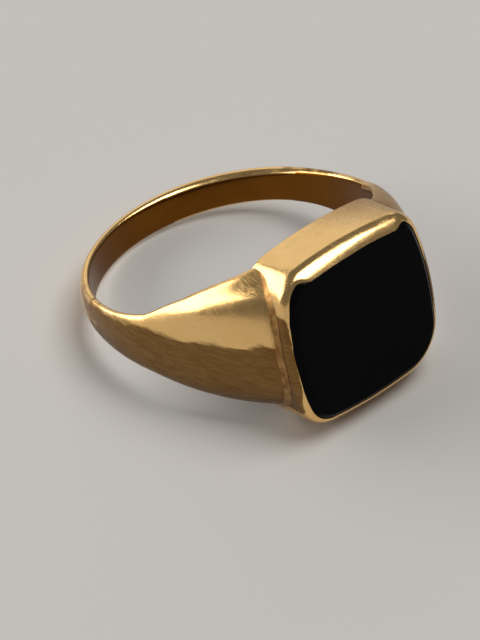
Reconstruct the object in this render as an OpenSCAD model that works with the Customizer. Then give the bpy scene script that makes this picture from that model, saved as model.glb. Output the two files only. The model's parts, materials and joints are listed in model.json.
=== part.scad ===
// Signet ring with a cushion-shaped black stone: a D-section shank in two lengths,
// two hollow shoulder shells and a box setting whose rim is rubbed over the stone.
//
// The ring is worked out in its own frame: the finger axis is Z, the head is at +X and the
// centre of the finger hole is at 0. lying() then lays it on the floor, as it rests when
// it is put down: on the head's lower back edge and the back of the shank. The head faces -Y.

/* [Finger hole and shank] */
// Diameter of the round part of the finger hole
finger_d = 18; // [16.5:0.1:20]
// Thickness of the shank at the middle of its width
shank_t = 0.8; // [0.75:0.05:1.1]
// Width of the shank at the back of the finger
shank_back_w = 2.2; // [1.6:0.1:2.6]
// Width of the shank where the shoulders start
shank_side_w = 4.1; // [3.8:0.1:4.4]
// Radius of the crown across the shank
crown_r = 4.5; // [4:0.5:9]
// Angle from the head to the joint between shank and shoulder
joint_angle = 75; // [70:1:80]
// Width of the thin tongue that the shank continues as, under each shoulder
tongue_w = 2.6; // [2:0.1:2.7]
// Thickness of the tongue
tongue_t = 0.4; // [0.35:0.05:0.45]
// Angle from the head to the soldered cut in the shank
cut_angle = 108; // [100:1:130]
// Width of the solder in the cut
cut_w = 0.25; // [0.15:0.05:0.5]

/* [Head] */
// Length of the stone across the finger
stone_l = 10.9; // [10:0.1:11.5]
// Width of the stone along the finger
stone_w = 10.44; // [10:0.1:11]
// Radius of the two bowed ends of the stone
end_bow_r = 17.5; // [14:0.5:25]
// Radius of the two bowed long sides of the stone
side_bow_r = 28; // [20:1:40]
// Radius of the stone's corners
corner_r = 1.8; // [1.2:0.1:2.4]
// Height of the stone's girdle edge above the centre of the finger hole
girdle_h = 11.76; // [11.5:0.01:12.2]
// Thickness of the stone from its back to its table
stone_t = 2.2; // [1.8:0.1:2.4]
// Width of the bevel round the stone's table
bevel = 0.42; // [0.3:0.02:0.6]
// Thickness of the box setting's wall
wall_t = 0.33; // [0.28:0.01:0.5]
// Height of the setting's back edge above the centre of the finger hole
back_edge_h = 8.35; // [8.2:0.05:8.8]
// Width of the seat under the stone's edge
seat_w = 0.9; // [0.6:0.1:1.4]
// Thickness of the seat
seat_t = 0.6; // [0.4:0.1:0.7]

/* [Shoulders] */
// Width of a shoulder where it meets the head
shoulder_w = 9.6; // [8.8:0.1:9.8]
// Height of a shoulder's ridge at the head, above the centre of the finger hole
ridge_h = 11.12; // [10.6:0.02:11.14]
// Thickness of the shoulder's shell
shell_t = 0.44; // [0.4:0.02:0.5]
// Angle from the head at which the hole's side turns straight to the head
straight_angle = 46; // [44:1:50]
// Width of the solder fillet between shoulder and head
fillet = 0.2; // [0.12:0.02:0.22]

/* [Hidden] */
$fn = 180;

gold = "#d9a94e";
solder_gold = "#e6cf95";
onyx = "#08080a";

finger_r = finger_d / 2;
outer_r = finger_r + shank_t;
back_half = shank_back_w / 2;
side_half = shank_side_w / 2;
half_l = stone_l / 2;
half_w = stone_w / 2;
table_h = girdle_h + bevel;
stone_back_h = table_h - stone_t;
wall_top_h = girdle_h - bevel;

// Clearance between pieces that are soldered or set together
gap = 0.01;

// Rim of the setting: radius of its rolled-over edge, reach on to the stone, thickness there
rim_r = 0.4;
lip = 0.07;
lip_t = 0.05;

// Half the width of the shank: it swells as the cube of the distance from its back
function shank_half(x) =
    back_half + (side_half - back_half) * pow((x + outer_r) / (outer_r * (1 + cos(joint_angle))), 3);

// Lying pose: the angle that brings the head's back edge and the shank's back down together
edge_r = outer_r - crown_r + sqrt(crown_r * crown_r - back_half * back_half);
tilt = atan((half_w + wall_t - back_half) / (back_edge_h + edge_r));
lift = (half_w + wall_t) * cos(tilt) - back_edge_h * sin(tilt);
front_reach = table_h * cos(tilt) + (half_w - bevel) * sin(tilt);
back_reach = edge_r * cos(tilt) + back_half * sin(tilt);

module lying() {
    translate([0, (front_reach - back_reach) / 2, lift])
    rotate([0, 0, -90])
    rotate([0, -tilt, 0])
    children();
}

// ---- Cushion outline: two end bows, two side bows and four corners, all tangent ----

// Centre of the corner at +X +Y, in the plane of the stone
bow_gap_x = half_l - end_bow_r;
bow_gap_y = half_w - side_bow_r;
centre_gap = norm([bow_gap_x, bow_gap_y]);
end_reach = end_bow_r - corner_r;
side_reach = side_bow_r - corner_r;
along = (end_reach * end_reach - side_reach * side_reach + centre_gap * centre_gap) / (2 * centre_gap);
across = sqrt(end_reach * end_reach - along * along);
gap_dir = [-bow_gap_x, bow_gap_y] / centre_gap;
corner_x = bow_gap_x + along * gap_dir[0] - across * gap_dir[1];
corner_y = along * gap_dir[1] + across * gap_dir[0];
end_turn = atan2(corner_y, corner_x - bow_gap_x);
side_turn = atan2(corner_y - bow_gap_y, corner_x);

// Solid cushion between two heights, grown from the stone's outline by grow
module cushion(low, high, grow = 0) {
    translate([0, 0, low])
    linear_extrude(high - low)
    union() {
        intersection() {
            for_both_bows(grow);
            polygon(corner_cut(grow));
        }
        for (sx = [-1, 1], sy = [-1, 1])
            translate([sx * corner_x, sy * corner_y])
            circle(corner_r + grow);
    }
}

module for_both_bows(grow) {
    intersection() {
        translate([bow_gap_x, 0]) circle(end_bow_r + grow, $fn = 720);
        translate([-bow_gap_x, 0]) circle(end_bow_r + grow, $fn = 720);
        translate([0, bow_gap_y]) circle(side_bow_r + grow, $fn = 720);
        translate([0, -bow_gap_y]) circle(side_bow_r + grow, $fn = 720);
    }
}

// Outline that trims the bows' sharp corners off where the round corners take over
function corner_cut(grow) =
    let (ex = bow_gap_x + (end_bow_r + grow) * cos(end_turn), ey = (end_bow_r + grow) * sin(end_turn),
         sx = (side_bow_r + grow) * cos(side_turn), sy = bow_gap_y + (side_bow_r + grow) * sin(side_turn),
         far = half_l + half_w)
    [[ex, -ey], [far, 0], [ex, ey], [sx, sy], [0, far], [-sx, sy],
     [-ex, ey], [-far, 0], [-ex, -ey], [-sx, -sy], [0, -far], [sx, -sy]];

// Points round the outline, grown by grow
bow_steps = 13;
turn_steps = 9;
function arc(centre, r, from, to, steps) =
    [for (i = [0:steps - 1])
        let (turn = from + (to - from) * i / steps)
        centre + r * [cos(turn), sin(turn)]];
function half_outline(grow) = concat(
    arc([bow_gap_x, 0], end_bow_r + grow, -end_turn, end_turn, bow_steps),
    arc([corner_x, corner_y], corner_r + grow, end_turn, side_turn, turn_steps),
    arc([0, bow_gap_y], side_bow_r + grow, side_turn, 180 - side_turn, bow_steps),
    arc([-corner_x, corner_y], corner_r + grow, 180 - side_turn, 180 - end_turn, turn_steps));
function outline(grow) = concat(half_outline(grow), -half_outline(grow));

// Bands of triangles between rings of n points; the rings are numbered from 0
function bands(n, rings, closed) =
    [for (i = [0:rings - (closed ? 1 : 2)], j = [0:n - 1])
        let (a = i * n + j, b = i * n + (j + 1) % n, up = ((i + 1) % rings - i) * n)
        each [[a, a + up, b + up], [a, b + up, b]]];
function levels_points(levels) =
    [for (l = levels) each [for (p = outline(l[0])) [p[0], p[1], l[1]]]];

// Solid through levels of the outline, each given as [growth, height]
module frustum(levels) {
    n = len(outline(0));
    polyhedron(levels_points(levels),
               concat(bands(n, len(levels), false), [[for (j = [0:n - 1]) j]],
                      [[for (j = [n - 1:-1:0]) (len(levels) - 1) * n + j]]));
}

// Frame whose section is the profile, given as [growth, height] points in turn
module frame(profile) {
    polyhedron(levels_points(profile), bands(len(outline(0)), len(profile), true), convexity = 6);
}

// Height of the head is the ring's X, and the head's own X runs across the finger
module at_head() {
    rotate([90, 0, 90])
    children();
}

// ---- Head ----

module stone() {
    color(onyx)
    lying()
    at_head()
    frustum([[0, stone_back_h], [0, girdle_h], [-bevel, table_h]]);
}

// Wall of the box, rounded over at the top and rubbed down on to the stone's bevel
module bezel() {
    color(gold)
    lying()
    at_head()
    frame(concat(
        [[gap, back_edge_h], [wall_t, back_edge_h]],
        [for (a = [0:30:60]) [wall_t - rim_r * (1 - cos(a)), wall_top_h + rim_r * sin(a)]],
        [[-lip / 2, girdle_h + lip + lip_t], [-lip, girdle_h + lip + gap], [gap, girdle_h]]));
}

module stone_seat() {
    color(gold)
    lying()
    at_head()
    difference() {
        cushion(stone_back_h - seat_t, stone_back_h - gap, -gap);
        cushion(stone_back_h - 2 * seat_t, stone_back_h + seat_t, -seat_w);
    }
}

// ---- Shank ----

module d_profile() {
    intersection() {
        translate([finger_r, -side_half]) square([shank_t, shank_side_w]);
        translate([outer_r - crown_r, 0]) circle(crown_r);
    }
}

// Outline of the shank seen along Y, which narrows it towards the back
module width_outline() {
    steps = 12;
    front = outer_r * cos(joint_angle) + shank_t;
    xs = [for (i = [0:steps]) -outer_r - 1 + (front + outer_r + 1) * i / steps];
    polygon(concat([for (x = xs) [x, shank_half(max(x, -outer_r))]],
                   [for (i = [steps:-1:0]) [xs[i], -shank_half(max(xs[i], -outer_r))]]));
}

// D-section stretch between two angles from the head
module shank_arc(from, to) {
    intersection() {
        rotate_extrude(start = from, angle = to - from)
        d_profile();
        rotate([90, 0, 0])
        linear_extrude(4 * outer_r, center = true)
        width_outline();
    }
}

// Thin tongue from the joint to the head's wall, on the +Y side. It is drawn past the wall by a
// share of its straight stretch, and cut off there
tongue_run = 0.35;
tongue_flare = 0.12;
module tongue() {
    bend_in = finger_r * [cos(straight_angle), sin(straight_angle)];
    bend_out = (finger_r + tongue_t) * [cos(straight_angle), sin(straight_angle)];
    end_in = [back_edge_h, half_l + wall_t];
    end_out = end_in + [tongue_t, tongue_flare];
    rise = (end_in - bend_in) * tongue_run;
    difference() {
        union() {
            rotate_extrude(start = straight_angle, angle = joint_angle + 1 - straight_angle)
            translate([finger_r, -tongue_w / 2])
            square([tongue_t, tongue_w]);
            translate([0, 0, -tongue_w / 2])
            linear_extrude(tongue_w)
            polygon([bend_in, end_in, end_in + rise, end_out + rise, end_out, bend_out]);
        }
        at_head()
        cushion(back_edge_h, girdle_h, wall_t);
        translate([back_edge_h, 0, -tongue_w])
        cube([tongue_w, half_l, 2 * tongue_w]);
    }
}

// Half the solder's width as an angle
cut_half = asin(cut_w / 2 / finger_r);

module shank_long_arm() {
    color(gold)
    lying()
    union() {
        shank_arc(joint_angle, 360 - cut_angle - cut_half);
        tongue();
    }
}

module shank_short_arm() {
    color(gold)
    lying()
    union() {
        shank_arc(360 - cut_angle + cut_half, 360 - joint_angle);
        mirror([0, 1, 0]) tongue();
    }
}

module sizing_solder() {
    color(solder_gold)
    lying()
    shank_arc(360 - cut_angle - cut_half, 360 - cut_angle + cut_half);
}

// ---- Shoulders: a shell lofted along the finger hole, from the shank to the head ----

shell_steps = 20;
shell_sides = 26;

// Places along a shoulder, from 0 at the shank to 1 at the head
straight_from = 0.6;
domed_from = 0.4;

// How far the ridge runs on along the shank's direction before it bends to the head
ridge_pull = 4.8;

// Squareness of the dome and of the hollow inside it, and the dome's height at its edges
dome_power = 4;
hollow_power = 8;
dome_edge = 0.02;
joint_dir = [cos(joint_angle), sin(joint_angle)];
wall_y = half_l + wall_t;

// Outside of the head's wall at a place along the finger
function wall_at(z) =
    let (q = abs(z), turn_z = (end_bow_r + wall_t) * sin(end_turn))
    q <= turn_z
        ? bow_gap_x + sqrt(pow(end_bow_r + wall_t, 2) - q * q)
        : corner_x + sqrt(pow(corner_r + wall_t, 2) - pow(q - corner_y, 2));

// Edge of the finger hole under the shoulder, from the joint (0) to the head (1)
function hole_edge(s) =
    let (bend = finger_r * [cos(straight_angle), sin(straight_angle)],
         turned = joint_angle + (straight_angle - joint_angle) * s / straight_from)
    s <= straight_from
        ? finger_r * [cos(turned), sin(turned)]
        : bend + ([back_edge_h, wall_y] - bend) * (s - straight_from) / (1 - straight_from);

// Ridge of the shoulder: a curve that leaves the shank along its own direction
function ridge(s) =
    let (start = outer_r * joint_dir, pull = start + ridge_pull * [joint_dir[1], -joint_dir[0]],
         finish = [ridge_h, wall_y])
    start * pow(1 - s, 2) + pull * 2 * s * (1 - s) + finish * s * s;

function shoulder_half(s) = side_half + (shoulder_w / 2 - side_half) * s;

// 0 at the joint, where the section is the shank's, and 1 once it is fully domed
function domed(s) =
    let (u = min(1, s / domed_from))
    u * u * (3 - 2 * u);

// Height of the shell across its width, as a share of the ridge's
edge_share = (shank_t - crown_r + sqrt(crown_r * crown_r - side_half * side_half)) / shank_t;
function dome(s, a) =
    let (flat_d = 1 - (1 - edge_share) * pow(sin(a), 2),
         full = dome_edge + (1 - dome_edge) * sqrt(max(0, 1 - pow(abs(sin(a)), dome_power))))
    flat_d + (full - flat_d) * domed(s);
function hollow(s, a) =
    sqrt(max(0, 1 - pow(abs(sin(a)), hollow_power + (dome_power - hollow_power) * domed(s))));

// A point of the shell: share is its height from the hole's edge to the ridge
function shell_point(s, share, z) =
    let (low = hole_edge(s), p = low + (ridge(s) - low) * share,
         pulled = (wall_y - wall_at(z)) * pow(s, 3))
    [p[0], p[1] - pulled + gap, z];

function skin_angle(j) = -90 + 180 * j / shell_sides;

function outer_line(s) =
    let (half = shoulder_half(s))
    concat([shell_point(s, 0, -half)],
           [for (j = [0:shell_sides]) shell_point(s, dome(s, skin_angle(j)), half * sin(skin_angle(j)))],
           [shell_point(s, 0, half)]);

function inner_line(s) =
    let (half = shoulder_half(s) - shell_t, depth = norm(ridge(s) - hole_edge(s)),
         top = (depth - shell_t) / depth)
    concat([shell_point(s, 0, -half)],
           [for (j = [0:shell_sides])
                shell_point(s, top * max(gap, hollow(s, skin_angle(j))), half * sin(skin_angle(j)))],
           [shell_point(s, 0, half)]);

// Triangles of a four-sided patch
function patch(a, b, c, d) = [[a, b, c], [a, c, d]];
function joined(lists) = [for (list = lists) for (item = list) item];

// Closed solid between two nets of the same size: outer[i][j] and inner[i][j]
module thick_skin(outer, inner) {
    rows = len(outer);
    cols = len(outer[0]);
    inside = rows * cols;
    points = concat(joined(outer), joined(inner));
    faces = concat(
        [for (i = [0:rows - 2], j = [0:cols - 2])
            each patch(i * cols + j, i * cols + j + 1, (i + 1) * cols + j + 1, (i + 1) * cols + j)],
        [for (i = [0:rows - 2], j = [0:cols - 2])
            each patch(inside + (i + 1) * cols + j, inside + (i + 1) * cols + j + 1,
                       inside + i * cols + j + 1, inside + i * cols + j)],
        [for (i = [0:rows - 2])
            each patch(i * cols, (i + 1) * cols, inside + (i + 1) * cols, inside + i * cols)],
        [for (i = [0:rows - 2])
            each patch(inside + i * cols + cols - 1, inside + (i + 1) * cols + cols - 1,
                       (i + 1) * cols + cols - 1, i * cols + cols - 1)],
        [for (j = [0:cols - 2])
            each patch(inside + j, inside + j + 1, j + 1, j)],
        [for (j = [0:cols - 2])
            each patch((rows - 1) * cols + j, (rows - 1) * cols + j + 1,
                       inside + (rows - 1) * cols + j + 1, inside + (rows - 1) * cols + j)]);
    polyhedron(points, faces, convexity = 6);
}

module shoulder_shell() {
    places = [for (i = [0:shell_steps]) i / shell_steps];
    thick_skin([for (s = places) outer_line(s)], [for (s = places) inner_line(s)]);
}

module left_shoulder() {
    color(gold)
    lying()
    mirror([0, 1, 0])
    shoulder_shell();
}

module right_shoulder() {
    color(gold)
    lying()
    shoulder_shell();
}

// Fillet of solder that runs over the arch where a shoulder meets the head's wall
module arch_fillet() {
    last = 1 - 1 / shell_steps;
    half = shoulder_half(1);
    angles = [for (j = [2:shell_sides - 2]) skin_angle(j)];
    arch = [for (a = angles) [half * sin(a), back_edge_h + (ridge_h - back_edge_h) * dome(1, a)]];
    slope = [for (k = [0:len(arch) - 1])
                let (step = arch[min(k + 1, len(arch) - 1)] - arch[max(k - 1, 0)])
                [-step[1], step[0]] / norm(step)];
    corner = [for (p = arch) [p[1], wall_at(p[0]) + gap, p[0]]];
    on_wall = [for (k = [0:len(arch) - 1])
                  let (q = arch[k] + fillet * slope[k])
                  [q[1], wall_at(q[0]) + gap / 2, q[0]]];
    on_shell = [for (k = [0:len(arch) - 1])
                   let (b = shell_point(last, dome(last, angles[k]), shoulder_half(last) * sin(angles[k])),
                        way = b - corner[k])
                   corner[k] + way * fillet / norm(way) + [slope[k][1], 0, slope[k][0]] * 2 * gap];
    ring_of_three(corner, on_wall, on_shell);
}

// Three-sided bar through three lines of points
module ring_of_three(a, b, c) {
    n = len(a);
    points = [for (k = [0:n - 1]) each [a[k], b[k], c[k]]];
    faces = concat(
        [[0, 1, 2], [3 * n - 3, 3 * n - 1, 3 * n - 2]],
        [for (k = [0:n - 2], e = [0:2])
            each patch(3 * k + e, 3 * k + 3 + e, 3 * k + 3 + (e + 1) % 3, 3 * k + (e + 1) % 3)]);
    polyhedron(points, faces, convexity = 6);
}

module shoulder_solder() {
    color(solder_gold)
    lying() {
        arch_fillet();
        mirror([0, 1, 0]) arch_fillet();
    }
}

stone();
bezel();
stone_seat();
left_shoulder();
right_shoulder();
shank_long_arm();
shank_short_arm();
sizing_solder();
shoulder_solder();
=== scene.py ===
"""Signet ring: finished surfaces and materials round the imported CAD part.

Every shape is worked out in the ring's own frame, in millimetres: x from the middle of the finger
hole to the head, y across the finger, z along the finger. to_row() takes it to the row's frame.
"""
import json
import math

import bpy
import numpy as np
from mathutils import Matrix, Vector, noise


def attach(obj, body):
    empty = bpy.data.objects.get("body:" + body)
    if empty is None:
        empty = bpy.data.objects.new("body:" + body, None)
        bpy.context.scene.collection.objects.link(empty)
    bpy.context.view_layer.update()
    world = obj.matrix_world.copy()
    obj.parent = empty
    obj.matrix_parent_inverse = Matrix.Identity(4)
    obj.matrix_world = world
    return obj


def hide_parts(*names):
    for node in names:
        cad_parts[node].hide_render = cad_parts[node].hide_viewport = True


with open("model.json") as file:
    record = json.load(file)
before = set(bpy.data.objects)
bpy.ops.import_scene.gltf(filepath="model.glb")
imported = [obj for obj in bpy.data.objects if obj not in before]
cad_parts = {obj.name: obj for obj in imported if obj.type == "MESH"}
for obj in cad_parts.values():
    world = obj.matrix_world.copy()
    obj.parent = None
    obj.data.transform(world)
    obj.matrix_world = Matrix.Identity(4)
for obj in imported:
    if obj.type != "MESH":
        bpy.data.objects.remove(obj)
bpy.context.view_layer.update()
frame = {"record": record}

MM = 0.001

# ---- The ring's frame, from the record's two mounts ----
mounts = {m["name"]: m for m in frame["record"]["mounts"]}
HOLE_CENTRE = np.array(mounts["finger_hole"]["pos_m"])
FINGER_AXIS = np.array(mounts["finger_hole"]["axis"])
HEAD_AXIS = np.array(mounts["stone_table"]["axis"])
ACROSS_AXIS = np.cross(FINGER_AXIS, HEAD_AXIS)
TO_ROW = np.array([HEAD_AXIS, ACROSS_AXIS, FINGER_AXIS])


def to_row(points):
    """Points in the ring's frame in millimetres, taken to the row's frame in metres."""
    return HOLE_CENTRE + np.asarray(points, float) @ TO_ROW * MM


# ---- Driving sizes, as in the CAD part ----
FINGER_R = mounts["finger_hole"]["dims"]["r_mm"]
TABLE_H = float((np.array(mounts["stone_table"]["pos_m"]) - HOLE_CENTRE) @ HEAD_AXIS) / MM
SHANK_T = 0.8
OUTER_R = FINGER_R + SHANK_T
BACK_HALF = 1.1
SIDE_HALF = 2.05
JOINT_ANGLE = 75
CUT_ANGLE = 108
CUT_W = 0.25
TONGUE_W = 2.6
TONGUE_T = 0.4
HALF_L = 5.45
HALF_W = 5.22
END_BOW_R = 17.5
SIDE_BOW_R = 28.0
BEVEL = 0.42
GIRDLE_H = TABLE_H - BEVEL
STONE_BACK_H = TABLE_H - 2.2
WALL_T = 0.33
BACK_EDGE_H = 8.35
SEAT_W = 0.9
SEAT_T = 0.6
SHOULDER_HALF = 4.8
RIDGE_H = 11.12
SHELL_T = 0.44
GAP = 0.01


# ---- Small helpers ----
def ease(u):
    """Smooth step from 0 at u = 0 to 1 at u = 1."""
    u = np.clip(u, 0.0, 1.0)
    return u * u * (3 - 2 * u)


def rough(point, size, seed=0.0):
    """Smooth noise from -1 to 1 at a point in millimetres, with lumps of about that size."""
    return noise.noise(Vector(np.asarray(point, float) / size) + Vector((seed, -seed, 2 * seed)))


def make_piece(name, points, faces, material, node, sharp=40, marks=None, inside=None):
    """A mesh piece in the row's frame that rides on the ring and stands for a CAD node.

    marks gives named values from 0 to 1 for a point, and inside tells which faces face the finger; those
    get the darker inside gold with painted shade.
    """
    mesh = bpy.data.meshes.new(name)
    mesh.from_pydata([tuple(p) for p in to_row(points)], [], faces)
    for mark, value in (marks or {}).items():
        layer = mesh.attributes.new(mark, "FLOAT", "POINT")
        layer.data.foreach_set("value", np.array([value(p) for p in points], np.float32))
    mesh.shade_smooth()
    mesh.set_sharp_from_angle(angle=math.radians(sharp))
    mesh.materials.append(material)
    if inside is not None:
        # Second slot: the darker inside gold with painted shade, for the faces towards the finger.
        mesh.materials.append(painted_shade_inside)
        for polygon, face in zip(mesh.polygons, faces):
            polygon.material_index = int(inside(np.mean([points[i] for i in face], axis=0)))
    piece = bpy.data.objects.new(name, mesh)
    bpy.context.scene.collection.objects.link(piece)
    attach(piece, "root")
    if node:
        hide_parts(node)
    return piece


def loft(rings, closed_along=False, cap=True):
    """Points and faces through closed rings of the same number of points."""
    rows, cols = len(rings), len(rings[0])
    points = np.concatenate([np.asarray(r, float) for r in rings])
    faces = []
    for i in range(rows if closed_along else rows - 1):
        near, far = i * cols, (i + 1) % rows * cols
        for j in range(cols):
            k = (j + 1) % cols
            faces.append((near + j, far + j, far + k, near + k))
    if cap and not closed_along:
        faces.append(tuple(range(cols)))
        faces.append(tuple((rows - 1) * cols + j for j in reversed(range(cols))))
    return points, faces


# ---- Materials ----
class Nodes:
    """Short way to build a node material."""

    def __init__(self, name):
        self.material = bpy.data.materials.new(name)
        self.material.use_nodes = True
        self.tree = self.material.node_tree
        self.shader = self.tree.nodes["Principled BSDF"]
        self.place = self.add("ShaderNodeTexCoord").outputs["Object"]

    def add(self, kind, inputs=None, **settings):
        node = self.tree.nodes.new(kind)
        for key, value in settings.items():
            setattr(node, key, value)
        for key, value in (inputs or {}).items():
            if isinstance(value, bpy.types.NodeSocket):
                self.tree.links.new(value, node.inputs[key])
            else:
                node.inputs[key].default_value = value
        return node

    def noise(self, size, detail=3.0, stretch=(1, 1, 1), turn=(0, 0, 0), roughness=0.5):
        """Noise from 0 to 1 with lumps of about that size in millimetres."""
        mapping = self.add("ShaderNodeMapping", {"Vector": self.place, "Scale": stretch,
                                                 "Rotation": [math.radians(a) for a in turn]})
        texture = self.add("ShaderNodeTexNoise", {"Vector": mapping.outputs[0], "Scale": 1 / (size * MM),
                                                  "Detail": detail, "Roughness": roughness})
        return texture.outputs["Fac"]

    def ramp(self, value, low, high, to_low=0.0, to_high=1.0):
        """The value stretched from low..high to to_low..to_high, and held at those ends."""
        node = self.add("ShaderNodeMapRange", {"Value": value, "From Min": low, "From Max": high,
                                               "To Min": to_low, "To Max": to_high})
        return node.outputs[0]

    def math(self, operation, a, b):
        return self.add("ShaderNodeMath", {0: a, 1: b}, operation=operation).outputs[0]

    def mix(self, share, a, b):
        node = self.add("ShaderNodeMix", data_type="RGBA")
        for key, value in ((0, share), (6, a), (7, b)):
            if isinstance(value, bpy.types.NodeSocket):
                self.tree.links.new(value, node.inputs[key])
            else:
                node.inputs[key].default_value = value
        return node.outputs[2]

    def attribute(self, name):
        return self.add("ShaderNodeAttribute", attribute_name=name).outputs["Fac"]

    def bump(self, height, depth, strength=1.0, under=None):
        """Normal for a relief of that depth in millimetres, on top of another one."""
        inputs = {"Height": height, "Distance": depth * MM, "Strength": strength}
        if under is not None:
            inputs["Normal"] = under
        return self.add("ShaderNodeBump", inputs).outputs[0]

    def scratches(self, turns, width, sparse):
        """Thin straight scratches in several directions, 1 on a scratch and 0 beside it."""
        total = None
        for k, turn in enumerate(turns):
            lines = self.noise(width, 0.0, (1, 0.008, 1), turn)
            mask = self.noise(1.6, 1.0, (1, 1, 1), (17 * k, 5, 40 * k))
            thin = self.ramp(lines, sparse, sparse + 0.08)
            shown = self.math("MULTIPLY", thin, self.ramp(mask, 0.45, 0.6))
            total = shown if total is None else self.math("MAXIMUM", total, shown)
        return total

    def finish(self, **sockets):
        """Put values or links on the shader's sockets, named with _ for a space."""
        for key, value in sockets.items():
            socket = self.shader.inputs[key.replace("_", " ")]
            if isinstance(value, bpy.types.NodeSocket):
                self.tree.links.new(value, socket)
            else:
                socket.default_value = value
        return self.material


SCRATCH_TURNS = ((10, 20, 35), (75, 5, 110), (40, 80, -20), (120, 30, 60))
SCUFF_TURNS = ((0, 10, 15), (0, -20, 75), (20, 0, -35), (0, 0, 120))
# Tone of the painted dark reflection of the ground on the lower side of the gold.
PAINTED_REFLECTION_TONE = (0.11, 0.042, 0.005, 1)
SCUFFED = (0.32, 0.20, 0.10, 1)
SCORED = (0.95, 0.78, 0.52, 1)
# Tone of the painted shade in the creases where the shoulders meet the head.
CREASE_SHADE_TONE = (0.22, 0.09, 0.03, 1)
GRAIN_DEPTH = 0.00072


def gold(name, colour, dark, base_rough):
    """Worn polished gold: slow colour drift and hairline scratches, with real scuffs, painted shade in the
    creases and a painted dark reflection on the lower side where the marks say so, and duller there.
    """
    n = Nodes(name)
    drift = n.noise(2.5, 3.0)
    grain_lines = n.noise(0.3, 2.0, (0.3, 0.3, 2.0))
    hair = n.scratches(SCRATCH_TURNS, 0.035, 0.66)
    scuffs = n.attribute("scuffs")
    scored = n.math("MULTIPLY", scuffs, n.scratches(SCUFF_TURNS, 0.07, 0.68))
    # Painted shade in the creases, patchy; it also makes the gold duller there.
    painted_crease_shade = n.math("MULTIPLY", n.attribute("painted_crease_shade"), n.ramp(n.noise(0.5, 4.0), 0.3, 0.6))
    # Painted dark reflection of the ground on the lower side, with a wandering edge.
    uneven = n.ramp(n.noise(1.6, 3.0, (0.7, 0.7, 2.6)), 0.3, 0.7, -0.35, 0.35)
    painted_reflection = n.ramp(n.math("ADD", n.attribute("painted_reflection"), uneven), 0.33, 0.67)
    tone = n.mix(n.ramp(drift, 0.3, 0.7, 0.0, 0.35), colour, dark)
    # Paint the dark reflection in, streaked along the grain lines.
    tone = n.mix(n.math("MULTIPLY", painted_reflection, n.ramp(grain_lines, 0.3, 0.7, 0.80, 0.90)), tone, PAINTED_REFLECTION_TONE)
    tone = n.mix(n.math("MULTIPLY", scuffs, 0.75), tone, SCUFFED)
    # Paint the crease shade in.
    tone = n.mix(n.math("MULTIPLY", painted_crease_shade, 0.7), tone, CREASE_SHADE_TONE)
    tone = n.mix(n.math("MULTIPLY", scored, 0.6), tone, SCORED)
    roughness = n.ramp(drift, 0.3, 0.7, base_rough - 0.03, base_rough + 0.05)
    for mark, duller in ((hair, 0.08), (painted_crease_shade, 0.25), (painted_reflection, 0.10), (scuffs, 0.25)):
        roughness = n.math("ADD", roughness, n.math("MULTIPLY", mark, duller))
    ripple = n.bump(n.noise(1.1, 2.0), 0.012)
    grainy = n.bump(n.noise(0.12, 2.0), GRAIN_DEPTH, 1.0, ripple)
    lined = n.bump(hair, -0.0015, 1.0, grainy)
    raised = n.bump(scored, 0.02, 1.0, lined)
    return n.finish(Base_Color=tone, Metallic=1.0, Roughness=roughness, Normal=raised)


def solder():
    """Pitted, duller gold of a repair."""
    n = Nodes("gold_solder")
    pits = n.noise(0.7, 4.0, roughness=0.6)
    tone = n.mix(n.ramp(pits, 0.35, 0.65), SOLDER_DARK, SOLDER)
    roughness = n.ramp(pits, 0.3, 0.7, 0.45, 0.25)
    return n.finish(Base_Color=tone, Metallic=1.0, Roughness=roughness, Normal=n.bump(pits, 0.02))


def onyx():
    """Black polished stone with faint haze and a few hairlines."""
    n = Nodes("black_onyx")
    haze = n.noise(3.0, 3.0)
    hair = n.scratches(SCRATCH_TURNS[:2], 0.04, 0.66)
    roughness = n.math("ADD", n.ramp(haze, 0.3, 0.7, 0.06, 0.12), n.math("MULTIPLY", hair, 0.1))
    n.shader.inputs["Specular IOR Level"].default_value = 0.03
    return n.finish(Base_Color=BLACK, Roughness=roughness, Normal=n.bump(hair, -0.001))


GOLD, GOLD_DARK = (0.94, 0.62, 0.26, 1), (0.82, 0.47, 0.15, 1)
# Inside gold: colours darkened as painted shade on the finger side of the hoop, the tongues and the seat;
# its greater roughness is real duller wear.
INSIDE_SHADE, INSIDE_SHADE_DARK = (0.21, 0.08, 0.010, 1), (0.13, 0.045, 0.004, 1)
SOLDER, SOLDER_DARK = (0.46, 0.27, 0.10, 1), (0.22, 0.10, 0.03, 1)
BLACK = (0.0025, 0.0025, 0.003, 1)
polished = gold("worn_gold_painted_shade", GOLD, GOLD_DARK, 0.17)
painted_shade_inside = gold("inside_gold_painted_shade", INSIDE_SHADE, INSIDE_SHADE_DARK, 0.30)
solder_material = solder()

# ---- Cushion outline: bows and corners, all tangent, each corner with its own radius ----
CORNER_R = {(1, 1): 1.6, (-1, 1): 1.75, (-1, -1): 1.75, (1, -1): 3.0}
BOW_STEPS = 28
TURN_STEPS = 22


def corner_place(radius):
    """Centre of a corner in its own quadrant, and the angles where it meets the end and side bows."""
    end, side = HALF_L - END_BOW_R, HALF_W - SIDE_BOW_R
    gap = math.hypot(end, side)
    end_reach, side_reach = END_BOW_R - radius, SIDE_BOW_R - radius
    along = (end_reach**2 - side_reach**2 + gap**2) / (2 * gap)
    over = math.sqrt(end_reach**2 - along**2)
    y = end - along * end / gap - over * side / gap
    z = along * side / gap - over * end / gap
    return y, z, math.atan2(z, y - end), math.atan2(z - side, y)


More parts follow.
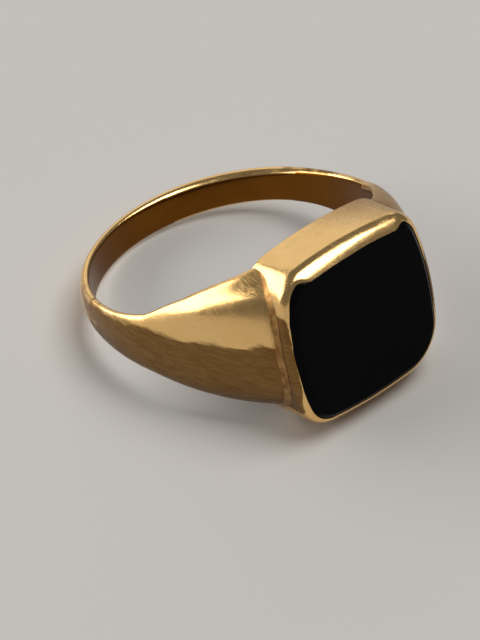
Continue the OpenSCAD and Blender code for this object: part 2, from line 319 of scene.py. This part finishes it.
def outline_base():
    """Points on the stone's girdle outline and the outward direction at each."""
    place = {q: corner_place(r) for q, r in CORNER_R.items()}
    half = math.pi
    arcs = []
    order = [(1, 1), (-1, 1), (-1, -1), (1, -1)]
    for n, q in enumerate(order):
        y, z, end_turn, side_turn = place[q]
        after = place[order[(n + 1) % 4]]
        sy, sz = q
        if sy * sz > 0:
            start, stop = end_turn, side_turn
        else:
            start, stop = half - side_turn, half - end_turn
        turn = half if sz < 0 else 0.0
        arcs.append(((sy * y, sz * z), CORNER_R[q], start + turn, stop + turn, TURN_STEPS))
        if n % 2 == 0:
            bow = (0.0, sz * (HALF_W - SIDE_BOW_R))
            arcs.append((bow, SIDE_BOW_R, stop + turn, half - after[3] + turn, BOW_STEPS))
        else:
            bow = (sy * (HALF_L - END_BOW_R), 0.0)
            finish = half + after[2] if sy < 0 else 2 * half + after[2]
            arcs.append((bow, END_BOW_R, stop + turn, finish, BOW_STEPS))
    base, out = [], []
    for (y, z), radius, start, stop, steps in arcs:
        for i in range(steps):
            a = start + (stop - start) * i / steps
            out.append((math.cos(a), math.sin(a)))
            base.append((y + radius * math.cos(a), z + radius * math.sin(a)))
    return np.array(base), np.array(out)


BASE, OUT = outline_base()
AROUND = len(BASE)


def level(grow, height):
    """Ring of points round the head at a growth from the stone's outline and a height."""
    flat = BASE + OUT * np.broadcast_to(grow, AROUND)[:, None]
    return np.column_stack([np.broadcast_to(height, AROUND), flat])


def rounded(corners, radius, steps=4):
    """The open path of (growth, height) corners with each inner corner rounded off."""
    path = [np.array(corners[0], float)]
    for before, corner, after in zip(corners, corners[1:], corners[2:]):
        b, c, a = (np.array(p, float) for p in (before, corner, after))
        cut = min(radius, np.linalg.norm(b - c) / 2, np.linalg.norm(a - c) / 2)
        p = c + (b - c) / np.linalg.norm(b - c) * cut
        q = c + (a - c) / np.linalg.norm(a - c) * cut
        for i in range(steps + 1):
            t = i / steps
            path.append(p * (1 - t) ** 2 + c * 2 * t * (1 - t) + q * t * t)
    path.append(np.array(corners[-1], float))
    return path


# ---- Section shared by shank and shoulders ----
CROWN_EDGE = 0.28
EDGE_ROUND = 0.32
FLANK_STEPS = 7


def section(half, inner, crest, soften, sides):
    """Outer side of a section: (z, height) points from one inside edge over the crown to the other."""
    def flank(sign):
        start, corner = np.array([half - soften, 0.0]), np.array([half, 0.0])
        finish = np.array([half, crest(sign * half)])
        path = [np.array([inner, 0.0])]
        for i in range(FLANK_STEPS + 1):
            t = i / FLANK_STEPS
            path.append(start * (1 - t) ** 2 + corner * 2 * t * (1 - t) + finish * t * t)
        return [p * (sign, 1) for p in path]

    over = []
    for j in range(1, sides):
        z = half * math.cos(math.pi * j / sides)
        over.append(np.array([z, crest(z)]))
    return flank(1) + over + flank(-1)[::-1]


def crown(u, edge):
    """Height of the D-section's crown as a share of its thickness, at u from -1 to 1 across it."""
    return edge + (1 - edge) * math.sqrt(max(0.0, 1 - u * u))


# ---- Stone ----
FACE_RINGS = (0.75, 0.5, 0.25, 0.03)


def stone(material):
    """Onyx with a flat table, a narrow bevel and a flat back; smaller rings fill both flat faces."""
    profile = rounded([(-1.5, STONE_BACK_H), (-0.02, STONE_BACK_H), (0, GIRDLE_H),
                       (-BEVEL, TABLE_H), (-1.4, TABLE_H)], 0.05)
    rings = [level(g, h) for g, h in profile]
    back = [rings[0] * (1, k, k) for k in FACE_RINGS[::-1]]
    front = [rings[-1] * (1, k, k) for k in FACE_RINGS]
    points, faces = loft(back + rings + front)
    return make_piece("onyx_stone", points, faces, material, "stone", sharp=70)


# ---- Setting ----
LIP = 0.07
LIP_TOP_EXTRA = 0.36
LIP_STANDS = 0.05
RIM_DROP = 0.62
RIM_STEPS = 14


def lip_width():
    """How far the rubbed-over rim reaches on to the stone, round the outline."""
    upper = ease((OUT[:, 1] - 0.75) / 0.2) * ease((4.5 - np.abs(BASE[:, 0] - 0.1)) / 1.2)
    lower = ease((-OUT[:, 1] - 0.6) / 0.35)
    wander = np.array([0.03 * rough((0, y, z), 1.7, 3.1) + 0.015 * rough((0, y, z), 0.5, 8.4)
                       for y, z in BASE])
    return np.maximum(0.04, LIP + LIP_TOP_EXTRA * upper + 0.02 * lower + wander)


def setting(material):
    """Thin wall round the stone, rolled over at the top on to the stone's edge."""
    lip = lip_width()
    dents = np.array([0.025 * rough((1, y, z), 2.4, 5.2) for y, z in BASE])
    low, mid = GIRDLE_H - RIM_DROP, GIRDLE_H + 0.02
    wall = rounded([(GAP, GIRDLE_H - 0.06), (GAP, BACK_EDGE_H), (WALL_T, BACK_EDGE_H), (WALL_T, low)], 0.07)
    rings = [level(g, h) for g, h in wall]
    for i in range(1, RIM_STEPS + 1):
        t = i / RIM_STEPS
        grow = WALL_T * (1 - t) ** 2 + (WALL_T - 0.015) * 2 * t * (1 - t) - lip * t * t
        top = GIRDLE_H + lip + LIP_STANDS
        height = low * (1 - t) ** 2 + (mid + dents) * 2 * t * (1 - t) + top * t * t
        rings.append(level(grow, height))
    rings.append(level(-lip - 0.012, GIRDLE_H + lip + LIP_STANDS * 0.55))
    rings.append(level(-lip - 0.004, GIRDLE_H + lip + 0.008))
    rings.append(level(GAP, GIRDLE_H + 0.004))
    points, faces = loft(rings, closed_along=True)
    return make_piece("box_setting", points, faces, material, "bezel", marks=WALL_WEAR_AND_PAINTED_SHADE)


def seat(material):
    """Ledge inside the wall, which the stone stands on."""
    top, low = STONE_BACK_H - GAP, STONE_BACK_H - SEAT_T
    ledge = rounded([(-SEAT_W / 2, top), (-GAP, top), (-GAP, low), (-SEAT_W, low), (-SEAT_W, top),
                     (-SEAT_W / 2, top)], 0.08)[:-1]
    points, faces = loft([level(g, h) for g, h in ledge], closed_along=True)
    return make_piece("seat_ledge", points, faces, material, "stone_seat")


# ---- Shoulders ----
JOINT = math.radians(JOINT_ANGLE)
JOINT_DIR = np.array([math.cos(JOINT), math.sin(JOINT)])
WALL_Y = HALF_L + WALL_T
WALL_CORNER_R = 1.8
CORNER_Y, CORNER_Z, END_TURN = corner_place(WALL_CORNER_R)[:3]
STRAIGHT_ANGLE = 56
STRAIGHT_PULL = 1.9
ROUND_UNTIL = 0.4
RIDGE_PULL = 4.8
SWELL = 0.12
TOP_SQUARENESS = 3.6
LOW_SQUARENESS = 2.5
LOW_SHRINK = 0.16
FULLER = 0.19
SHELL_ROWS = 60
SHELL_SIDES = 48
PILLOW = 0.015
LUMPS = 0.012


def wall_at(z):
    """Outside of the head's wall at a place along the finger."""
    q = abs(z)
    if q <= (END_BOW_R + WALL_T) * math.sin(END_TURN):
        return HALF_L - END_BOW_R + math.sqrt((END_BOW_R + WALL_T) ** 2 - q * q)
    return CORNER_Y + math.sqrt(max(0.0, (WALL_CORNER_R + WALL_T) ** 2 - (q - CORNER_Z) ** 2))


def hole_edge(s):
    """Edge of the finger hole under a shoulder, from the shank (0) to the head (1)."""
    bend_angle = math.radians(STRAIGHT_ANGLE)
    finish = np.array([BACK_EDGE_H, WALL_Y])
    if s <= ROUND_UNTIL:
        a = JOINT + (bend_angle - JOINT) * s / ROUND_UNTIL
        return FINGER_R * np.array([math.cos(a), math.sin(a)])
    start = FINGER_R * np.array([math.cos(bend_angle), math.sin(bend_angle)])
    pull = start + STRAIGHT_PULL * np.array([math.sin(bend_angle), -math.cos(bend_angle)])
    u = (s - ROUND_UNTIL) / (1 - ROUND_UNTIL)
    return start * (1 - u) ** 2 + pull * 2 * u * (1 - u) + finish * u * u


def ridge(s):
    """Top of the shoulder, which leaves the shank along the shank's own direction."""
    start = OUTER_R * JOINT_DIR
    pull = start + RIDGE_PULL * np.array([JOINT_DIR[1], -JOINT_DIR[0]])
    finish = np.array([RIDGE_H, WALL_Y])
    return start * (1 - s) ** 2 + pull * 2 * s * (1 - s) + finish * s * s


def shoulder_half(s):
    """Half the shoulder's width."""
    return SIDE_HALF + (SHOULDER_HALF - SIDE_HALF) * s + SWELL * math.sin(math.pi * s) ** 2


def depth_at(s):
    """Height of the shoulder from the hole's edge to its ridge."""
    return np.linalg.norm(ridge(s) - hole_edge(s))


def dome(s, u):
    """Height of the shoulder as a share of its ridge's, at u from -1 to 1 across its width."""
    edge = CROWN_EDGE / depth_at(s)
    square = TOP_SQUARENESS if u > 0 else LOW_SQUARENESS
    power = 2 + (square - 2) * ease(s / 0.6)
    return edge + (1 - edge) * math.sqrt(max(0.0, 1 - abs(u) ** power))


def lean(s, z, side):
    """Place along the finger, drawn in below next to the head, and fuller above on the left side."""
    share = z / shoulder_half(s)
    if share < 0:
        return z * (1 - LOW_SHRINK * s * s * ease(-share))
    return z + (FULLER * ease(s / 0.25) * share if side < 0 else 0.0)


def surface(s, u, side):
    """Point on the outside of a shoulder."""
    return shell_point(s, dome(s, u), lean(s, u * shoulder_half(s), side)) * (1, side, 1)


def shell_point(s, share, z):
    """Point at a share of the shoulder's height, with its end bent to the head's wall."""
    low = hole_edge(s)
    p = low + (ridge(s) - low) * share
    pulled = (WALL_Y - wall_at(z)) * s**3
    return np.array([p[0], p[1] - pulled + GAP, z])


def shoulder(name, node, side, material):
    """Hollow shell on one side of the ring: side is 1 for +y and -1 for -y."""
    rings = []
    for i in range(SHELL_ROWS + 1):
        s = i / SHELL_ROWS
        half = shoulder_half(s)
        inner = half - SHELL_T
        depth = depth_at(s)
        plump = 1 - PILLOW * ease((s - 0.9) / 0.1) ** 2
        hollow_power = 8 - 4 * ease(s / 0.4)

        def crest(z):
            return depth * plump * dome(s, z / half)

        ring = []
        for z, height in section(half, inner, crest, EDGE_ROUND * (1 - 0.5 * s), SHELL_SIDES):
            z = lean(s, z, side)
            base = shell_point(s, height / depth, z)
            lump = LUMPS * rough(base, 2.2, 4.0) * ease(s / 0.3)
            ring.append(shell_point(s, height / depth * (1 + lump), z))
        for j in range(SHELL_SIDES + 1):
            u = math.sin(math.radians(-90 + 180 * j / SHELL_SIDES))
            share = (depth - SHELL_T) / depth * math.sqrt(max(0.0, 1 - abs(u) ** hollow_power))
            ring.append(shell_point(s, max(0.02, share), lean(s, inner * u, side)))
        rings.append(np.array(ring))
    points, faces = loft(rings)
    points = points * (1, side, 1)
    if side < 0:
        faces = [tuple(reversed(f)) for f in faces]
    return make_piece(name, points, faces, material, node, sharp=50, marks=WEAR_AND_PAINTED_SHADE)


def arch_at(a, side):
    """A point of the crease where a shoulder meets the head."""
    z = lean(1.0, shoulder_half(1.0) * math.sin(a), side)
    height = BACK_EDGE_H + (RIDGE_H - BACK_EDGE_H) * dome(1.0, math.sin(a)) * (1 - PILLOW)
    return np.array([height, side * (wall_at(z) + GAP), z])


ARCH = [math.radians(-84 + 168 * k / 40) for k in range(41)]
CREASE = {side: [arch_at(a, side) for a in ARCH] for side in (-1, 1)}
CREASE_POINTS = np.array(CREASE[-1] + CREASE[1])


# ---- Wear, painted crease shade and painted dark reflection, worked out point by point for the materials ----
CREASE_SHADE_REACH = 0.7
PAINTED_REFLECTION_END = 8.5
SPLIT_BACK = 1.5
SPLIT_FRONT = 0.85
SCUFFS_AT = (7.5, 6.2)


def crease_shade(point):
    """Painted shade: 1 in the crease between shoulder and head, falling to 0 at the shade's reach from it.
    """
    gap = np.linalg.norm(CREASE_POINTS - np.asarray(point), axis=1).min()
    return ease(1 - gap / CREASE_SHADE_REACH)


def painted_reflection_below(point):
    """Painted dark reflection: 0 on the upper side of the shank and shoulders, 1 on the lower side, which
    is painted darker and duller.
    """
    x, y, z = point
    if math.hypot(x, y) < FINGER_R + 0.1:
        return 0.0
    split = SPLIT_BACK - (SPLIT_BACK - SPLIT_FRONT) * ease((x + 1) / 10)
    below = ease((split - z) / 0.9 + 0.5)
    return below * ease((x + PAINTED_REFLECTION_END) / 9) * ease((GIRDLE_H - x) / 0.6)


def far_scuffs(point):
    """1 on the right shoulder's top and the corner of the head beside it, where the gold is scuffed."""
    reach = math.hypot(point[0] - SCUFFS_AT[0], point[1] - SCUFFS_AT[1])
    on_top = ease((point[2] - 1) / 1.5) * ease((GIRDLE_H - 0.2 - point[0]) / 0.5)
    return ease(1.45 - reach / 5) * on_top


def wall_painted_reflection(point):
    """Painted dark reflection of the ground on the lower part of the head's side walls, like the one on the
    shank and shoulders.
    """
    on_side = ease((abs(point[1]) - HALF_L + 0.2) / 0.2)
    return ease((3.3 - point[2]) / 1.8 + 0.5) * on_side


# Per piece: real scuffs, plus the painted crease shade and the painted dark reflection.
WEAR_AND_PAINTED_SHADE = {"painted_crease_shade": crease_shade, "painted_reflection": painted_reflection_below, "scuffs": far_scuffs}
SHANK_PAINTED_SHADE = {"painted_crease_shade": crease_shade, "painted_reflection": painted_reflection_below}
WALL_WEAR_AND_PAINTED_SHADE = {"painted_crease_shade": crease_shade, "painted_reflection": wall_painted_reflection, "scuffs": far_scuffs}


# ---- Shank ----
ARC_STEP = 1.5
PROFILE_STEPS = 26
BEND = 0.1
WORN_THIN = 0.08
UNWORN_EDGE = 0.3


def shank_half(angle):
    """Half the shank's width at an angle from the head, in degrees."""
    x = OUTER_R * math.cos(math.radians(angle))
    share = (x + OUTER_R) / (OUTER_R * (1 + math.cos(JOINT)))
    return BACK_HALF + (SIDE_HALF - BACK_HALF) * share**3


def shank_section(angle):
    """Closed D-section at an angle: crowned outside, flat inside, worn round at the edges."""
    half = shank_half(angle)
    a = math.radians(angle)
    from_joint = min(angle, 360 - angle) - JOINT_ANGLE
    rise_z = BEND * ease(from_joint / 45)
    worn = ease((angle - 180) / 30) * ease((360 - JOINT_ANGLE - angle) / 25)
    thick = SHANK_T - WORN_THIN * worn
    unworn = ease((205 - angle) / 60) * ease((angle - 92) / 40)
    edge = (CROWN_EDGE + UNWORN_EDGE * unworn) / SHANK_T

    def crest(z):
        return thick * crown(z / half, edge)

    ring = []
    for z, rise in section(half, half * 0.3, crest, EDGE_ROUND * (1 + 0.4 * unworn), PROFILE_STEPS):
        r = FINGER_R + rise
        wear = 0.012 * rough((r * math.cos(a), r * math.sin(a), z), 3.0, 7.0)
        ring.append([(r + wear) * math.cos(a), (r + wear) * math.sin(a), z + rise_z])
    return np.array(ring)


def faces_finger(p):
    """Whether a face is on the finger's side of the hoop, or on the tongue."""
    return math.hypot(p[0], p[1]) < FINGER_R + 0.06 or math.atan2(abs(p[1]), p[0]) < JOINT - 0.01


def shank_arm(name, node, start, stop, tongue_side, material):
    """Hoop between two angles, in one piece with the tongue at its end."""
    steps = max(6, round((stop - start) / ARC_STEP))
    rings = [shank_section(start + (stop - start) * i / steps) for i in range(steps + 1)]
    points, faces = loft(rings)
    tongue_points, tongue_faces = tongue(tongue_side)
    faces += [tuple(i + len(points) for i in f) for f in tongue_faces]
    points = np.concatenate([points, tongue_points])
    return make_piece(name, points, faces, material, node, marks=SHANK_PAINTED_SHADE, inside=faces_finger)


TONGUE_ROWS = 24
TONGUE_END = 0.985


def tongue(side):
    """Strip of shank that runs on inside the shoulder, narrowing towards the head's wall."""
    rings = []
    for i in range(TONGUE_ROWS + 1):
        s = i / TONGUE_ROWS
        low = hole_edge(s * TONGUE_END)
        ahead = hole_edge(min(1.0, s * TONGUE_END + 0.01)) - low
        up = np.array([-ahead[1], ahead[0]]) / np.linalg.norm(ahead)
        up = up if up @ low > 0 else -up
        flare = shoulder_half(s) - SHELL_T - 0.03 - TONGUE_W / 2
        half = TONGUE_W / 2 + flare * ease((0.85 - s) / 0.4)
        strip = rounded([(0, GAP), (half, GAP), (half, TONGUE_T), (0, TONGUE_T)], 0.08)
        strip = strip + [p * (-1, 1) for p in strip[-2:0:-1]]
        rings.append([[*(low + up * rise), z] for z, rise in strip])
    points, faces = loft(rings)
    return points * (1, side, 1), faces if side < 0 else [tuple(reversed(f)) for f in faces]


def sizing_solder(material):
    """Solder in the cut, standing a hair proud of the shank."""
    half_turn = math.degrees(CUT_W / 2 / FINGER_R)
    rings = []
    for i in range(7):
        angle = 360 - CUT_ANGLE + half_turn * (i / 3 - 1)
        ring = shank_section(angle)
        rings.append(ring * (1.0005, 1.0005, 1.002))
    points, faces = loft(rings)
    return make_piece("sizing_joint", points, faces, material, "sizing_solder")


# ---- Solder in the creases ----
COVE_W = 0.26
COVE_STEPS = 8


def cove(side):
    """Concave run of solder along one crease, from the shoulder up to the wall."""
    line = CREASE[side]
    rings = []
    for k, (a, p) in enumerate(zip(ARCH, line)):
        ahead = line[min(k + 1, len(line) - 1)] - line[max(k - 1, 0)]
        up = np.cross(ahead, (0.0, 1.0, 0.0))
        up /= np.linalg.norm(up)
        up = up if up @ (p - (BACK_EDGE_H, p[1], 0)) > 0 else -up
        down = surface(0.92, math.sin(a), side) - p
        down /= np.linalg.norm(down)
        thin = 0.2 + 0.8 * ease(min(k, len(line) - 1 - k) / 4)
        width = COVE_W * thin * (1 + 0.2 * rough(p, 1.3, 2.0 + side))
        start, finish = p + up * width, p + down * width
        start[1] = side * (wall_at(start[2]) + 0.01)
        pull = p + (start - p + finish - p) * 0.22
        ring = [start * (1 - t) ** 2 + pull * 2 * t * (1 - t) + finish * t * t
                for t in np.linspace(0, 1, COVE_STEPS)]
        ring.append(p - down * 0.1 - up * 0.1)
        rings.append(np.array(ring))
    return loft(rings)


def shoulder_solder(material):
    """Both coves in one piece."""
    points, faces = cove(1)
    more, more_faces = cove(-1)
    faces = faces + [tuple(i + len(points) for i in f) for f in more_faces]
    points = np.concatenate([points, more])
    return make_piece("solder_beads", points, faces, material, "shoulder_solder", sharp=80)


HALF_CUT = 0.8

stone(onyx())
setting(polished)
seat(painted_shade_inside)
shoulder("shoulder_left", "left_shoulder", -1, polished)
shoulder("shoulder_right", "right_shoulder", 1, polished)
shank_arm("shank_long", "shank_long_arm", JOINT_ANGLE, 360 - CUT_ANGLE - HALF_CUT, 1, polished)
shank_arm("shank_short", "shank_short_arm", 360 - CUT_ANGLE + HALF_CUT, 360 - JOINT_ANGLE, -1, polished)
sizing_solder(solder_material)
shoulder_solder(solder_material)

# ---- Camera: a close-up from the left and above ----
AIM = Vector((-1.40, -0.085, 0.849)) * MM
CAMERA_AZIMUTH = -39.50
CAMERA_ELEVATION = 41.46
CAMERA_ROLL = -2.81
CAMERA_DISTANCE = 303.7 * MM
CAMERA_LENS = 279.5

az, el = math.radians(CAMERA_AZIMUTH), math.radians(CAMERA_ELEVATION)
back = Vector((math.sin(az) * math.cos(el), -math.cos(az) * math.cos(el), math.sin(el)))
camera_data = bpy.data.cameras.new("camera")
camera_data.sensor_width = 36
camera_data.lens = CAMERA_LENS
camera_data.clip_start = 0.01
camera = bpy.data.objects.new("camera", camera_data)
bpy.context.scene.collection.objects.link(camera)
upright = (-back).to_track_quat("-Z", "Y").to_matrix().to_4x4()
camera.matrix_world = Matrix.Translation(AIM + back * CAMERA_DISTANCE) @ upright @ Matrix.Rotation(
    math.radians(CAMERA_ROLL), 4, "Z")
bpy.context.scene.camera = camera

# ---- Floor and light ----
FLOOR_SIZE = 1.2
FLOOR_COLOUR = (0.54, 0.53, 0.52, 1)
WARM = (1.0, 0.97, 0.92)
WARMER = (1.0, 0.96, 0.90)
PALE = (1.0, 0.98, 0.95)
FILL = 0.16
floor_mesh = bpy.data.meshes.new("floor")
half_floor = FLOOR_SIZE / 2
floor_mesh.from_pydata([(-half_floor, -half_floor, 0), (half_floor, -half_floor, 0),
                        (half_floor, half_floor, 0), (-half_floor, half_floor, 0)], [], [(0, 1, 2, 3)])
floor_nodes = Nodes("pale_floor")
floor_mesh.materials.append(floor_nodes.finish(Base_Color=FLOOR_COLOUR, Roughness=0.8))
floor = bpy.data.objects.new("floor", floor_mesh)
bpy.context.scene.collection.objects.link(floor)


def soft_light(name, azimuth, elevation, distance, width, height, glow, colour):
    """Rectangular soft box that looks at the ring from a direction; glow is how bright its face is."""
    a, e = math.radians(azimuth), math.radians(elevation)
    way = Vector((math.sin(a) * math.cos(e), -math.cos(a) * math.cos(e), math.sin(e)))
    data = bpy.data.lights.new(name, "AREA")
    data.shape = "RECTANGLE"
    data.size = width
    data.size_y = height
    data.energy = glow * math.pi * width * height
    data.color = colour
    light = bpy.data.objects.new(name, data)
    bpy.context.scene.collection.objects.link(light)
    light.location = way * distance
    light.rotation_euler = (-way).to_track_quat("-Z", "Y").to_euler()
    light.visible_camera = False


soft_light("overhead", 50, 68, 0.6, 0.38, 0.34, 5.6, PALE)
soft_light("window_left", -140, 21, 0.7, 0.9, 0.46, 3.6, WARMER)
soft_light("window_back", 148, 20, 0.7, 0.7, 0.36, 0.7, WARM)

world = bpy.data.worlds.new("studio")
bpy.context.scene.world = world
world.use_nodes = True
world.node_tree.nodes["Background"].inputs["Color"].default_value = (*PALE, 1)
world.node_tree.nodes["Background"].inputs["Strength"].default_value = FILL

bpy.context.scene.view_settings.view_transform = "Standard"
